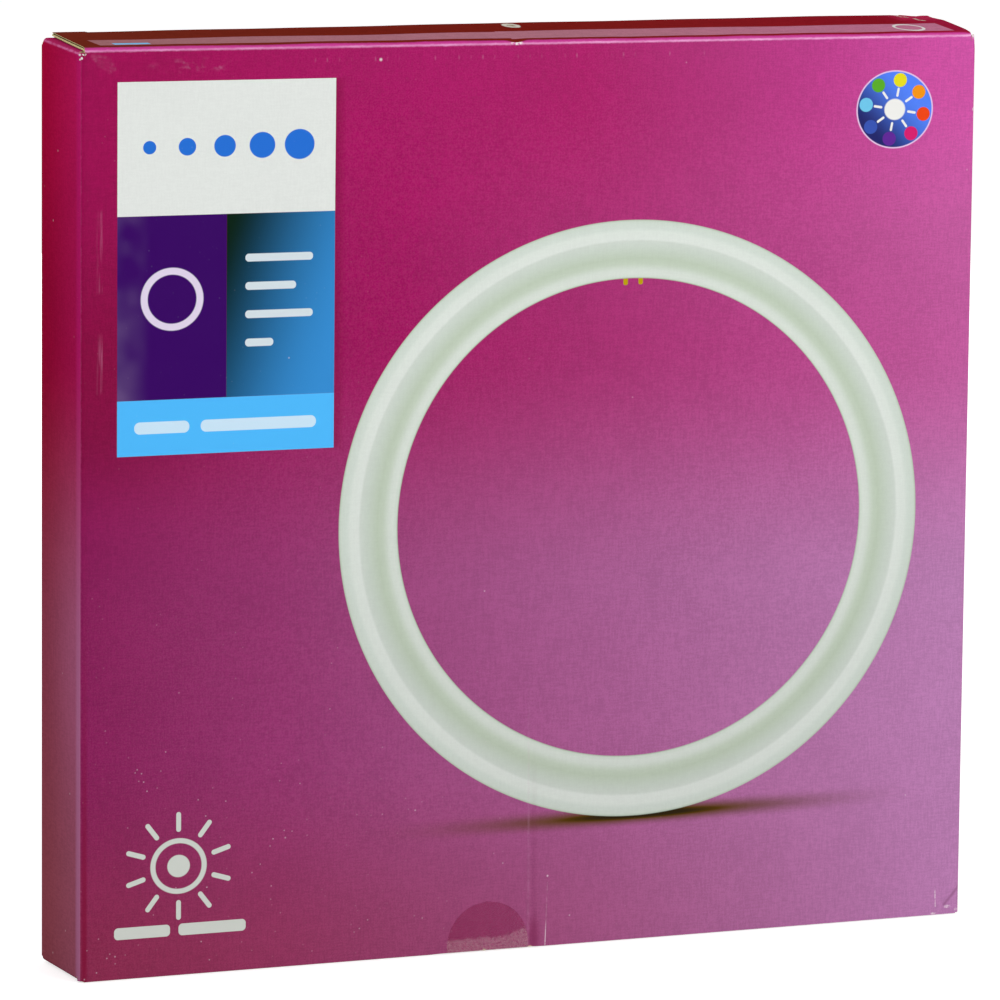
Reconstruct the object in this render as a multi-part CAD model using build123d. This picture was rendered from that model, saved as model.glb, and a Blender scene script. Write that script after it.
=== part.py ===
from build123d import *
import os

# A closed reverse-tuck folding carton of thin fluted board, held shut by a round film seal.
# Millimetres. The origin is the middle of the base, +Z is up and the front panel faces -Y.

# Outside of the closed carton
carton_width = 328.0  # along X, over the side panels
carton_depth = 39.0  # along Y, front face to back face
carton_height = 310.0  # along Z, from the base to the front top fold

# Fluted board and its folds
board = 1.2  # thickness of the board
crease_radius = 0.3  # inside radius of a fold
fold_radius = crease_radius + board

# Side seam, where the back panel is glued over a flap of the right side panel
seam_setback = 0.6  # raw edge of the back panel, in from the right face

# Tuck closures, alike at the top and the bottom
lid_end_clearance = 0.2  # end of a lid to the start of the vertical fold beside it
ear_length = 11.5  # slit cut in from each end of a lid, along its tuck fold
ear_clearance = 0.2  # ear's raw edge to the panel that the tuck slides behind
slit_gap = 0.25  # ear to the top edge of the tuck under it
tuck_depth = 18.0  # from the lid's face to the end of the tuck
tuck_trim = 1.0  # tuck is this much shorter than its lid at each end
tuck_clearance = 0.3  # tuck to the panel that it slides behind
groove_depth = 5.0  # how far down the tuck stands clear of that panel
flap_gap = 0.3  # dust flap to the lid over it, at the lid's fold
dust_flap_reach = 34.0  # from a side panel to the free end of its dust flap
top_lift = 3.0  # the top lid stands this much open at its back edge, the bottom lid is flat
back_edge_drop = 1.0  # raw top edge of the back panel, below the front top fold

# Round film seal over the raw lower edge of the front panel
seal_diameter = 30.0
seal_film = 0.1  # film thickness
seal_reach_up = 17.0  # from the base up the front panel
seal_centre_x = -16.7

# Places worked out from the sizes above
half_width = carton_width / 2
half_depth = carton_depth / 2
half_lid = half_width - fold_radius - lid_end_clearance
tuck_face = half_depth - board - tuck_clearance
flap_level = carton_height - board - flap_gap


def box_between(x_span, y_span, z_span):
    """A box given by its limits along X, Y and Z."""
    size = [high - low for low, high in (x_span, y_span, z_span)]
    middle = [(low + high) / 2 for low, high in (x_span, y_span, z_span)]
    return Pos(*middle) * Box(*size)


def rounded(face, corners, radius):
    """The face with the corners nearest to the given points rounded."""
    for point in corners:
        face = fillet(face.vertices().sort_by_distance(Vector(*point))[0], radius)
    return face


def along_x(face, x_span):
    """A YZ outline drawn out along X."""
    low, high = x_span
    return extrude(Plane.YZ.offset(low) * face, high - low, dir=(1, 0, 0))


def turned_over(shape):
    """The shape turned half round about X: top to bottom, and back to front."""
    middle = Axis((0, 0, carton_height / 2), (1, 0, 0))
    return shape.rotate(middle, 180)


def wall_section():
    """Plan of the four panels: three folded corners, and the glued seam at the right of the back."""
    inner_depth = carton_depth - board
    folded = Pos(0, -board / 2) * Rectangle(carton_width, inner_depth)
    seam_fold = (half_width, half_depth - board)
    front_folds = [(-half_width, -half_depth), (half_width, -half_depth)]
    folded = rounded(folded, front_folds + [seam_fold], fold_radius)

    back_width = carton_width - seam_setback
    back = Pos(-seam_setback / 2, half_depth - board / 2) * Rectangle(back_width, board)
    section = folded + back
    return rounded(section, [(-half_width, half_depth)], fold_radius)


def wall_block():
    """The four panels, up to the folds at their ends, and the dust flaps at the top and the bottom."""
    flap_base = carton_height - flap_level
    fold_start = flap_base + fold_radius
    fold_end = flap_level - fold_radius
    walls = extrude(Pos(0, 0, fold_start) * wall_section(), fold_end - fold_start, dir=(0, 0, 1))
    return walls + dust_flaps() + turned_over(dust_flaps())


def dust_flaps():
    """The side panels' upper ends, folded over and inwards, between the front fold and the tuck."""
    foot = flap_level - 2 * fold_radius
    folds = [(-half_width, flap_level), (half_width, flap_level)]
    outline = Polygon((-half_width, foot), *folds, (half_width, foot), align=None)
    outline = Plane.XZ * rounded(outline, folds, fold_radius)
    flap_front = fold_radius - half_depth
    flap_back = tuck_face - board
    return extrude(Pos(0, flap_front, 0) * outline, flap_back - flap_front, dir=(0, 1, 0))


def lid_height(y, lift):
    """Height of the lid's face at the depth y, from its fold at the front to its tuck fold."""
    return carton_height + lift * (y + half_depth) / (tuck_face + half_depth)


def lid_outline(lift):
    """Section of the folded lid and its tuck, as a strip of board."""
    inner_front = -half_depth + board
    inner_tuck = tuck_face - board
    panel_foot = flap_level - 2 * fold_radius
    tuck_end = carton_height - tuck_depth
    outer_folds = [(-half_depth, carton_height), (tuck_face, carton_height + lift)]
    inner_folds = [
        (inner_tuck, lid_height(inner_tuck, lift) - board),
        (inner_front, lid_height(inner_front, lift) - board),
    ]
    strip = Polygon(
        (-half_depth, panel_foot),
        *outer_folds,
        (tuck_face, tuck_end),
        (inner_tuck, tuck_end),
        *inner_folds,
        (inner_front, panel_foot),
        align=None,
    )
    strip = rounded(strip, outer_folds, fold_radius)
    return rounded(strip, inner_folds, crease_radius)


def ear_outline(lift):
    """Section of the lid's end past its slit: folded at the front, flat and raw at the back."""
    inner_front = -half_depth + board
    ear_edge = half_depth - board - ear_clearance
    panel_foot = flap_level - 2 * fold_radius
    ear_top = lid_height(ear_edge, lift)
    outer_fold = (-half_depth, carton_height)
    inner_fold = (inner_front, lid_height(inner_front, lift) - board)
    strip = Polygon(
        (-half_depth, panel_foot),
        outer_fold,
        (ear_edge, ear_top),
        (ear_edge, ear_top - board),
        inner_fold,
        (inner_front, panel_foot),
        align=None,
    )
    strip = rounded(strip, [outer_fold], fold_radius)
    return rounded(strip, [inner_fold], crease_radius)


def filled_outline(lift):
    """Section of the lid with the space under it, between the two dust flaps."""
    folds = [(-half_depth, carton_height), (tuck_face, carton_height + lift)]
    tuck_end = carton_height - tuck_depth
    outline = Polygon((-half_depth, tuck_end), *folds, (tuck_face, tuck_end), align=None)
    return rounded(outline, folds, fold_radius)


def closure(lift=0.0):
    """The top lid, hinged on the front panel: lid, tuck, slit-lock ears and the tuck's ends under them."""
    fold_end = half_lid - ear_length
    filled_end = half_width - dust_flap_reach
    tuck_end = half_lid - tuck_trim
    tuck_span_y = (tuck_face - board, tuck_face)
    tuck_span_z = (carton_height - tuck_depth, lid_height(tuck_face - board, lift) - board - slit_gap)

    right = along_x(lid_outline(lift), (filled_end, fold_end))
    right += along_x(ear_outline(lift), (fold_end, half_lid))
    right += box_between((fold_end, tuck_end), tuck_span_y, tuck_span_z)
    middle = along_x(filled_outline(lift), (-filled_end, filled_end))
    return middle + right + mirror(right, about=Plane.YZ)


def tuck_groove(lift=0.0):
    """The open slit between the tuck and the raw-edged panel that it slides behind."""
    reach = half_lid - tuck_trim
    top = carton_height + lift + board
    slit = (tuck_face, half_depth - board)
    return box_between((-reach, reach), slit, (carton_height - groove_depth, top))


def raw_edge(x_span, drop=0.0):
    """The top of the panel opposite the lid's hinge, with a square raw edge."""
    foot = flap_level - 2 * fold_radius
    return box_between(x_span, (half_depth - board, half_depth), (foot, carton_height - drop))


def seal_disc(centre_y):
    """The part of the seal's disc on the +Y side of its fold at y = 0, with the disc's centre at centre_y."""
    disc = Pos(seal_centre_x, centre_y) * Circle(seal_diameter / 2)
    kept_side = Pos(seal_centre_x, seal_diameter) * Rectangle(2 * seal_diameter, 2 * seal_diameter)
    return disc & kept_side


def bottom_seal():
    """Film folded over the raw lower edge: one part up the front panel and one under the base."""
    centre_above = seal_reach_up - seal_diameter / 2
    front_face = Plane(origin=(0, -half_depth, 0), x_dir=(1, 0, 0), z_dir=(0, -1, 0))
    base_face = Plane(origin=(0, -half_depth, 0), x_dir=(1, 0, 0), z_dir=(0, 0, 1))
    up = extrude(front_face * seal_disc(centre_above), seal_film, dir=(0, -1, 0))
    under = extrude(base_face * seal_disc(-centre_above), seal_film, dir=(0, 0, 1))
    return up, under


def carton(film_under):
    """The whole closed carton, with a seat in its base for the film."""
    top = closure(top_lift)
    bottom = turned_over(closure())
    back_edge = raw_edge((-half_width + fold_radius, half_width - seam_setback), back_edge_drop)
    front_edge = raw_edge((-half_width + fold_radius, half_width - fold_radius))

    walls = wall_block() + back_edge + turned_over(front_edge)
    walls -= tuck_groove(top_lift)
    walls -= turned_over(tuck_groove())
    return walls + top + bottom - film_under


film_up, film_under = bottom_seal()
nodes = {
    "carton": carton(film_under),
    "bottom_seal": film_up + film_under,
}

os.makedirs("parts", exist_ok=True)
for name, shape in nodes.items():
    export_step(shape, f"parts/{name}.step")
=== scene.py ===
import math

import bmesh
import bpy
from mathutils import Matrix, Vector, noise


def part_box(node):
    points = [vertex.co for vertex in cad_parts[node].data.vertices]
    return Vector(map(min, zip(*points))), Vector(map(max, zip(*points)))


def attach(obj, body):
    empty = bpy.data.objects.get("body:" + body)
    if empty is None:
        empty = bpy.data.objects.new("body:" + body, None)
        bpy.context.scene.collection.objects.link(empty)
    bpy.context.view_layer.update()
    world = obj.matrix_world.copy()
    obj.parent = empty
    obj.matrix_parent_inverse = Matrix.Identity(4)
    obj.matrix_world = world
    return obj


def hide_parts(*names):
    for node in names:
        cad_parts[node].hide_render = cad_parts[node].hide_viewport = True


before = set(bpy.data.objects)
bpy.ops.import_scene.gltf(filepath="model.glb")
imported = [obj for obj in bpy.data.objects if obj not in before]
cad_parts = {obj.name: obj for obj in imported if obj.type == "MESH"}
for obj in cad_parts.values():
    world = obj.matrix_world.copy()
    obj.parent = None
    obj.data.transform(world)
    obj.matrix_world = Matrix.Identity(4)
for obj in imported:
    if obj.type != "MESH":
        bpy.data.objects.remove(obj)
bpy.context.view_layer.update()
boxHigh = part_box("carton")[1]
sealLow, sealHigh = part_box("bottom_seal")
mm = 0.001
hair = 1e-7  # metres, for telling places apart

# The board and its folds, shared by every piece of the carton
board = {
    "thick": 1.2 * mm,
    "fold": 1.5 * mm,  # outside radius of a fold
    "foldSteps": 8,
    "halfWidth": boxHigh.x,
    "halfDepth": boxHigh.y,
    "lift": 3.0 * mm,  # the top lid stands this much open at its back
    "lidEnd": 1.7 * mm,  # end of a lid, in from the side face
    "lidSkew": 1.9 * mm,  # the top lid's back is this much to the right
    "lidTwist": 0.75 * mm,  # and stands higher at the right end, lower at the left
    "lidRise": 0.35 * mm,  # and a little higher all along
    "lidArch": 0.2 * mm,  # and in the middle
    "ear": 11.5 * mm,  # slit along the tuck fold, from the lid's end
    "earGap": 1.4 * mm,  # ear's raw edge, in from the far face
    "tuckIn": 1.5 * mm,  # tuck's face, in from the far face
    "tuckTrim": 1.0 * mm,
    "tuckDepth": 18.0 * mm,
    "tuckHold": (0.6, 6 * mm),  # share of the skew that the hidden tuck loses, and over what depth
    "flapDrop": 1.5 * mm,  # dust flap's face, below the lid's fold
    "flapReach": 34.0 * mm,
    "flapSpring": 2.6 * mm,  # rise of the top dust flaps' folds towards the back
    "springFrom": (22 * mm, 20 * mm),  # starts this far below the fold, and is full after this much
    "flapSag": 1.25 * mm,  # drop of the bottom dust flaps' folds, down to the floor
    "sagFrom": (14 * mm, 11 * mm),  # starts at this height, and is full after this much
    "sagIn": 2.5 * mm,  # only this near to the side face
    "lap": 0.6 * mm,  # strip of a side panel that goes with the fold beside it
    "seam": 0.6 * mm,  # raw edge of the back panel, in from the right face
    "glue": 0.04 * mm,
    "glueFlap": 10.0 * mm,
    "backDrop": 1.0 * mm,
}
board["height"] = boxHigh.z - board["lift"]
halfWidth, halfDepth, height = board["halfWidth"], board["halfDepth"], board["height"]
sideLow = board["flapDrop"] + board["fold"]  # side panels are flat between these heights
sideHigh = height - sideLow
printWidth, printDepth = 328.0, 39.0  # millimetres, as everything in the print


# Shader helpers: each node goes into the tree that was started last
work = {}


def rgb(red, green, blue):
    def linear(value):
        value /= 255
        return value / 12.92 if value <= 0.04045 else ((value + 0.055) / 1.055) ** 2.4

    return (linear(red), linear(green), linear(blue), 1.0)


def wire(socket, value):
    if isinstance(value, bpy.types.NodeSocket):
        work["tree"].links.new(value, socket)
    else:
        socket.default_value = value


def node(kind, inputs, **settings):
    made = work["tree"].nodes.new("ShaderNode" + kind)
    for name, value in settings.items():
        setattr(made, name, value)
    for name, value in inputs.items():
        wire(made.inputs[name], value)
    return made


def calc(operation, *values):
    return node("Math", dict(enumerate(values)), operation=operation).outputs[0]


def chain(operation, values):
    result = values[0]
    for value in values[1:]:
        result = calc(operation, result, value)
    return result


def plus(*values):
    return chain("ADD", values)


def times(*values):
    return chain("MULTIPLY", values)


def most(*values):
    return chain("MAXIMUM", values)


def less(value, amount):
    return calc("SUBTRACT", value, amount)


def scaled(value, factor, start):
    return calc("MULTIPLY_ADD", value, factor, start)


def apart(value, middle):
    return calc("ABSOLUTE", less(value, middle))


def distance(across, along):
    return calc("SQRT", scaled(across, across, times(along, along)))


def wave(value, pitch):
    return calc("SINE", times(value, 2 * math.pi / pitch))


def ease(value, low, high, bottom=0.0, top=1.0):
    names = ("Value", "From Min", "From Max", "To Min", "To Max")
    inputs = dict(zip(names, (value, low, high, bottom, top)))
    return node("MapRange", inputs, interpolation_type="SMOOTHSTEP").outputs["Result"]


def paint(amount, below, above):
    below, above = [rgb(*part) if isinstance(part, tuple) else part for part in (below, above)]
    return node("Mix", {0: amount, 6: below, 7: above}, data_type="RGBA").outputs[2]


def shade(colour, factor):
    colour = rgb(*colour)[:3] if isinstance(colour, tuple) else colour
    return node("VectorMath", {0: colour, "Scale": factor}, operation="SCALE").outputs[0]


def ramp(value, stops):
    made = node("ValToRGB", {"Fac": value})
    made.color_ramp.interpolation = "EASE" if len(stops) < 4 else "LINEAR"
    elements = made.color_ramp.elements
    while len(elements) < len(stops):
        elements.new(0.5)
    for element, (place, colour) in zip(elements, stops):
        element.position = place
        element.color = rgb(*colour)
    return made.outputs["Color"]


def grain(scale, detail=2.0, rough=0.5):
    scale = scale if isinstance(scale, tuple) else (scale,) * 3
    fit = node("Mapping", {"Vector": work["coords"], "Scale": scale})
    inputs = {"Vector": fit.outputs["Vector"], "Scale": 1.0, "Detail": detail, "Roughness": rough}
    return node("TexNoise", inputs).outputs["Fac"]


def bump(relief, depth, strength=1.0):
    return node("Bump", {"Height": relief, "Distance": depth, "Strength": strength}).outputs["Normal"]


# Flat shapes: "at" is the pair of coordinates that they lie on, in millimetres
def roundBox(at, box, corner=0.0, soft=0.1):
    left, right, low, high = box
    across = less(apart(at[0], (left + right) / 2), (right - left) / 2 - corner)
    along = less(apart(at[1], (low + high) / 2), (high - low) / 2 - corner)
    if not corner:
        return ease(most(across, along), soft, -soft)
    return ease(distance(most(across, 0.0), most(along, 0.0)), corner + soft, corner - soft)


def oval(at, centre, radii):
    return distance(*[calc("DIVIDE", less(*pair), radius) for pair, radius in zip(zip(at, centre), radii)])


def spot(at, centre, radii, solid, top=1.0):
    return ease(oval(at, centre, radii), 1.0, solid, 0.0, top)


def hoop(away, hole, soft=0.02):
    return times(ease(away, 1 + soft, 1 - soft), ease(away, hole - soft, hole + soft))


def stroke(at, start, end, half, soft=0.1):
    runX, runZ = end[0] - start[0], end[1] - start[1]
    length = runX * runX + runZ * runZ
    fromX, fromZ = less(at[0], start[0]), less(at[1], start[1])
    share = scaled(fromX, runX / length, times(fromZ, runZ / length))
    share = most(calc("MINIMUM", share, 1.0), 0.0)
    gap = distance(scaled(share, -runX, fromX), scaled(share, -runZ, fromZ))
    return ease(gap, half + soft, max(half - soft, 0.0))


def aroundOval(centre, radii, turn, share=1.0):
    return (centre[0] + share * radii[0] * math.cos(turn), centre[1] + share * radii[1] * math.sin(turn))


def newMaterial(name):
    work["material"] = bpy.data.materials.new(name)
    work["material"].use_nodes = True
    work["tree"] = work["material"].node_tree
    work["shader"] = work["tree"].nodes["Principled BSDF"]


def startMaterial(name):
    newMaterial(name)
    work["coords"] = node("TexCoord", {}).outputs["Object"]
    split = node("SeparateXYZ", {0: work["coords"]})
    return [times(split.outputs[axis], 1 / mm) for axis in "XYZ"]  # millimetres


def dress(looks):
    for name, value in looks.items():
        wire(work["shader"].inputs[name], value)
    return work["material"]


# Printed board: varnish, the flutes showing through, and fine grain of the print
varnish = {
    "flutePitch": 3.2,
    "fluteHeight": 0.006 * mm,
    "fluteStrength": 0.6,
    "streakRelief": 1.5,  # height of the streaks against the flutes
    "mottle": 0.1,  # on the coloured fields
    "paleMottle": 0.024,  # on the white and pale ones
    "bareDots": 0.012,  # share of paper showing through the coloured fields
    "paper": (240, 232, 236),
    "roughSpan": (-0.04, 0.06),  # about a print's own roughness
    "wornRough": 0.35,  # added where the print is torn away
    "dimSpan": (95, 10),  # the wall dims between these heights over the horizon
}


def startPrint(name, rags=4.0):
    places = startMaterial(name)
    streaks = grain((1500, 1500, 260), 1.0)
    bars = grain((300, 300, 1500), 1.0)
    clouds = grain(45)
    dots = grain(1900, 1.0)
    work["streaks"], work["clouds"], work["dots"] = streaks, clouds, dots
    work["tone"] = plus(streaks, bars, scaled(clouds, 0.6, dots))
    work["ragged"] = grain(700, rags, 0.6)
    return places


def mottled(colour, amount):
    return shade(colour, ease(work["tone"], 1.3, 2.3, 1.0 - amount, 1.0 + amount))


def halftone(colour, share=1.0):
    bare = times(ease(work["dots"], 0.3, 0.7, 0.0, varnish["bareDots"]), share)
    return mottled(paint(bare, colour, varnish["paper"]), varnish["mottle"])


def finishPrint(colour, across, gloss, wear=None):
    specular, roughness = gloss
    smooth, dull = varnish["roughSpan"]
    rough = ease(work["clouds"], 0.3, 0.7, roughness + smooth, roughness + dull)
    if wear is not None:
        rough = scaled(wear, varnish["wornRough"], rough)
    relief = scaled(work["streaks"], varnish["streakRelief"], wave(across, varnish["flutePitch"]))
    return dress({
        "Base Color": colour,
        "Roughness": rough,
        "Specular IOR Level": specular,
        "Normal": bump(relief, varnish["fluteHeight"], varnish["fluteStrength"]),
    })


def backdrop(across, up, data):
    high, low = data["horizon"]
    dimFrom, dimTo = varnish["dimSpan"]
    upper = shade(ramp(across, data["wall"]), ease(up, high + dimFrom, high + dimTo, 1.0, data["dim"]))
    return paint(ease(up, high, low), upper, ramp(across, data["ground"]))


def specks(at, spacing, reach, share):
    flat = node("CombineXYZ", {0: at[0], 1: at[1]}).outputs[0]
    cells = node("TexVoronoi", {"Vector": flat, "Scale": 1 / spacing}, voronoi_dimensions="2D").outputs
    near = ease(cells["Distance"], reach / spacing, 0.3 * reach / spacing)
    pick = node("SeparateColor", {0: cells["Color"]}).outputs[2]
    return times(near, ease(pick, 1.0 - share, 1.0))  # most are faint


# The ring in the front's print, with its two pins and its long shadow
ringPrint = {
    "inner": {"centre": (35.5, 146.3), "radii": (86.4, 82.2)},
    "outer": {"centre": (35.8, 145.75), "radii": (108.0, 102.6)},
    "lean": 0.011,  # the printed ring leans a little
    "edge": 0.18,
    "bands": [  # from the inner outline to the outer one
        (0.000, (170, 186, 162)),
        (0.025, (206, 217, 205)),
        (0.080, (214, 222, 213)),
        (0.150, (210, 219, 209)),
        (0.250, (193, 206, 188)),
        (0.340, (187, 201, 181)),
        (0.520, (198, 209, 197)),
        (0.630, (204, 213, 204)),
        (0.670, (219, 226, 219)),
        (0.800, (217, 225, 217)),
        (0.860, (208, 218, 209)),
        (0.965, (203, 214, 203)),
        (1.000, (180, 195, 174)),
    ],
    "light": (225, 40, 1.05, 0.94),  # two heights and how bright the ring is there
    "pins": [(31.3, 33.0, 226.2, 230.0), (36.9, 38.6, 226.3, 230.0)],
    "gold": (186, 158, 12),
    "shade": (92, 62, 0),
    "shadeCore": (38, 29, 0),
    "shadeLine": (0.0085, 43.1),  # slope and height of the shadow under the ring
    "shadeHalf": 4.4,
    "shadeLeft": (-64, 54),  # it fades in and out between these
    "shadeRight": (150, 25),
}


def paintRing(at, colour):
    data = ringPrint
    x, z = at
    across = less(z, scaled(x, *data["shadeLine"]))
    along = times(ease(x, *data["shadeLeft"]), ease(x, *data["shadeRight"]))
    depth = times(along, ease(calc("ABSOLUTE", across), data["shadeHalf"], 0.0, 0.0, 1.4))
    dark = paint(ease(depth, 0.85, 1.2), data["shade"], data["shadeCore"])
    colour = paint(calc("MINIMUM", depth, 0.99), colour, dark)
    for pin in data["pins"]:
        colour = paint(roundBox(at, pin, 0.7, 0.2), colour, data["gold"])
    gaps = []  # distance out from the inner and from the outer outline
    for outline in (data["inner"], data["outer"]):
        leaning = scaled(less(z, outline["centre"][1]), data["lean"], x)
        away = oval((leaning, z), outline["centre"], outline["radii"])
        gaps.append(times(less(away, 1.0), outline["radii"][0]))
    inside, outside = gaps
    share = calc("DIVIDE", inside, less(inside, outside))
    bands = shade(ramp(share, data["bands"]), ease(z, *data["light"]))
    edge = data["edge"]
    onRing = times(ease(inside, -edge, edge), ease(outside, edge, -edge))
    return paint(onRing, colour, mottled(bands, varnish["paleMottle"]))


# Label of plain colour fields with simple shapes on them
labelPrint = {
    "beside": (-77.0, -71.8, 175.2, 299.4),  # a darker strip of print
    "besideTint": (118, 8, 46),
    "besideStrength": 0.42,
    "top": (-151.0, -74.2, 254.4, 299.4),
    "left": (-151.0, -112.6, 193.6, 254.4),
    "right": (-112.6, -74.2, 193.6, 254.4),
    "foot": (-151.0, -74.2, 175.2, 193.6),
    "white": (228, 232, 228),
    "violet": (56, 2, 98),
    "haze": (196, 170, 206),
    "hazeSpan": (-151, -139, 0.16, 0.0),
    "tealDark": (2, 30, 14),
    "tealLight": (54, 142, 212),
    "tealSlope": -0.35,
    "tealSpan": (-200, -146),
    "sky": (80, 188, 255),
    "dots": 5,  # a row of growing dots on the white field
    "dot": (-139.8, 276.9),
    "dotStep": 13.2,
    "dotRadii": (2.3, 2.2),
    "dotGrowth": (0.75, 0.7),
    "ink": (38, 112, 214),
    "hoop": ((-131.8, 226.8), (11.0, 10.4)),
    "hoopHole": 0.78,
    "hoopTint": (226, 214, 236),
    "bars": [(238.4, -82.0), (229.0, -88.0), (219.6, -82.0), (210.2, -96.0)],  # height and right end
    "barLeft": -106.0,
    "barHigh": 2.6,
    "barCorner": 1.2,
    "barTint": (214, 226, 232),
    "footBars": [(-145.0, -125.6, 182.4, 186.4), (-121.6, -80.6, 182.4, 186.4)],
    "footBarCorner": 1.9,
    "footBarTint": (204, 232, 250),
}


def paintLabel(at, colour):
    data = labelPrint
    x, z = at
    beside = times(roundBox(at, data["beside"], 0.0, 2.2), data["besideStrength"])
    colour = paint(beside, colour, data["besideTint"])
    colour = paint(roundBox(at, data["top"]), colour, mottled(data["white"], varnish["paleMottle"]))
    haze = times(ease(x, *data["hazeSpan"]), ease(work["clouds"], 0.35, 0.6))
    colour = paint(roundBox(at, data["left"]), colour, paint(haze, data["violet"], data["haze"]))
    slide = ease(scaled(z, data["tealSlope"], x), *data["tealSpan"])
    colour = paint(roundBox(at, data["right"]), colour, paint(slide, data["tealDark"], data["tealLight"]))
    colour = paint(roundBox(at, data["foot"]), colour, data["sky"])
    for step in range(data["dots"]):
        centre = (data["dot"][0] + data["dotStep"] * step, data["dot"][1])
        radii = [radius + growth * step for radius, growth in zip(data["dotRadii"], data["dotGrowth"])]
        colour = paint(ease(oval(at, centre, radii), 1.03, 0.97), colour, data["ink"])
    colour = paint(hoop(oval(at, *data["hoop"]), data["hoopHole"]), colour, data["hoopTint"])
    for low, right in data["bars"]:
        bar = (data["barLeft"], right, low, low + data["barHigh"])
        colour = paint(roundBox(at, bar, data["barCorner"]), colour, data["barTint"])
    for bar in data["footBars"]:
        colour = paint(roundBox(at, bar, data["footBarCorner"]), colour, data["footBarTint"])
    return colour


# Round badge: a blue disc with a sun, inside a circle of coloured dots
badgePrint = {
    "centre": (132.9, 283.8),
    "radii": (14.7, 13.45),
    "rim": (232, 200, 238),
    "blueDark": (34, 38, 104),
    "blueLight": (84, 132, 250),
    "blueSpan": (-17, 13),  # up the slope, from the middle
    "dots": [
        (232, 222, 30), (246, 150, 20), (240, 70, 20), (214, 30, 110),
        (96, 40, 150), (56, 84, 178), (112, 200, 236), (90, 172, 40),
    ],
    "firstDot": 80,  # degrees, then on round clockwise
    "dotRadii": (2.55, 2.4),
    "dotShare": 0.76,  # of the badge's radii, as the two below
    "rayFrom": 0.36,
    "rayTo": 0.53,
    "rayHalf": 0.42,
    "pale": (240, 240, 236),
}


def paintBadge(at, colour):
    data = badgePrint
    centre, radii = data["centre"], data["radii"]
    badge = oval(at, centre, radii)
    colour = paint(ease(badge, 1.015, 0.985), colour, data["rim"])
    slope = ease(plus(*at), *[sum(centre) + offset for offset in data["blueSpan"]])
    colour = paint(ease(badge, 0.98, 0.955), colour, paint(slope, data["blueDark"], data["blueLight"]))
    for step, tint in enumerate(data["dots"]):
        turn = math.radians(data["firstDot"] - 360 / len(data["dots"]) * step)
        dot = oval(at, aroundOval(centre, radii, turn, data["dotShare"]), data["dotRadii"])
        colour = paint(ease(dot, 1.06, 0.94), colour, tint)
        near, far = [aroundOval(centre, radii, turn, data[end]) for end in ("rayFrom", "rayTo")]
        colour = paint(stroke(at, near, far, data["rayHalf"]), colour, data["pale"])
    return paint(ease(badge, 0.29, 0.25), colour, data["pale"])


# Outline sun over two bars, low on the left
sunPrint = {
    "pale": (208, 214, 206),
    "centre": (-129.0, 37.0),
    "radii": (10.0, 9.4),
    "hole": 0.82,
    "rays": 10,
    "firstRay": 18,  # degrees
    "rayFrom": (13.2, 12.4),
    "rayTo": (18.6, 17.4),
    "rayHalf": 0.85,
    "bars": [(-151.8, -132.0, 13.4, 17.4), (-129.0, -105.0, 13.4, 17.4)],
    "barCorner": 1.4,
}


def paintSun(at, colour):
    data = sunPrint
    away = oval(at, data["centre"], data["radii"])
    colour = paint(most(hoop(away, data["hole"]), ease(away, 0.42, 0.38)), colour, data["pale"])
    for step in range(data["rays"]):
        turn = math.radians(360 / data["rays"] * step + data["firstRay"])
        near, far = [aroundOval(data["centre"], data[end], turn) for end in ("rayFrom", "rayTo")]
        colour = paint(stroke(at, near, far, data["rayHalf"]), colour, data["pale"])
    for bar in data["bars"]:
        colour = paint(roundBox(at, bar, data["barCorner"]), colour, data["pale"])
    return colour


# Bright line along the top fold, rubbed print with a painted highlight on it, scuffs and ticks under it, and
# small torn places
topWear = {
    "fold": (308.5, 309.2),  # the print pales between these heights: rub, with a painted highlight on the fold
    "foldRubAndHighlightTint": (206, 66, 154),
    "line": 308.9,
    "lineHalf": 0.65,
    "lineSpan": (-150, 160, 0.6, 0.95),  # two places along the fold and how bright the line is there
    "lineRubAndHighlightTint": (248, 176, 226),
    "cloud": ((-124, 303.4), (18, 3.2)),
    "fan": [
        ((-159.6, 307.2), (-153.6, 306.0)),
        ((-159.0, 306.3), (-152.8, 304.4)),
        ((-158.4, 305.4), (-152.2, 302.8)),
        ((-157.6, 304.4), (-153.6, 302.0)),
    ],
    "fanStrength": 0.26,
    "scuffTint": (212, 150, 186),
    "ticks": (-84, 66, 303.9, 305.1),
    "tickPitch": 8.6,
    "tickStrength": 0.16,
    "tickTint": (232, 180, 212),
    "speck": ((-58.3, 304.3), (0.8, 0.8)),
    "flecks": ((-9.0, 309.0), (2.6, 0.9)),
    "corner": ((163.6, 308.6), (1.7, 1.4)),
    "tears": [((-162.5, 307.8), (0.9, 0.5)), ((-163.3, 306.5), (0.45, 0.55))],
    "bare": (244, 234, 236),
}


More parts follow.
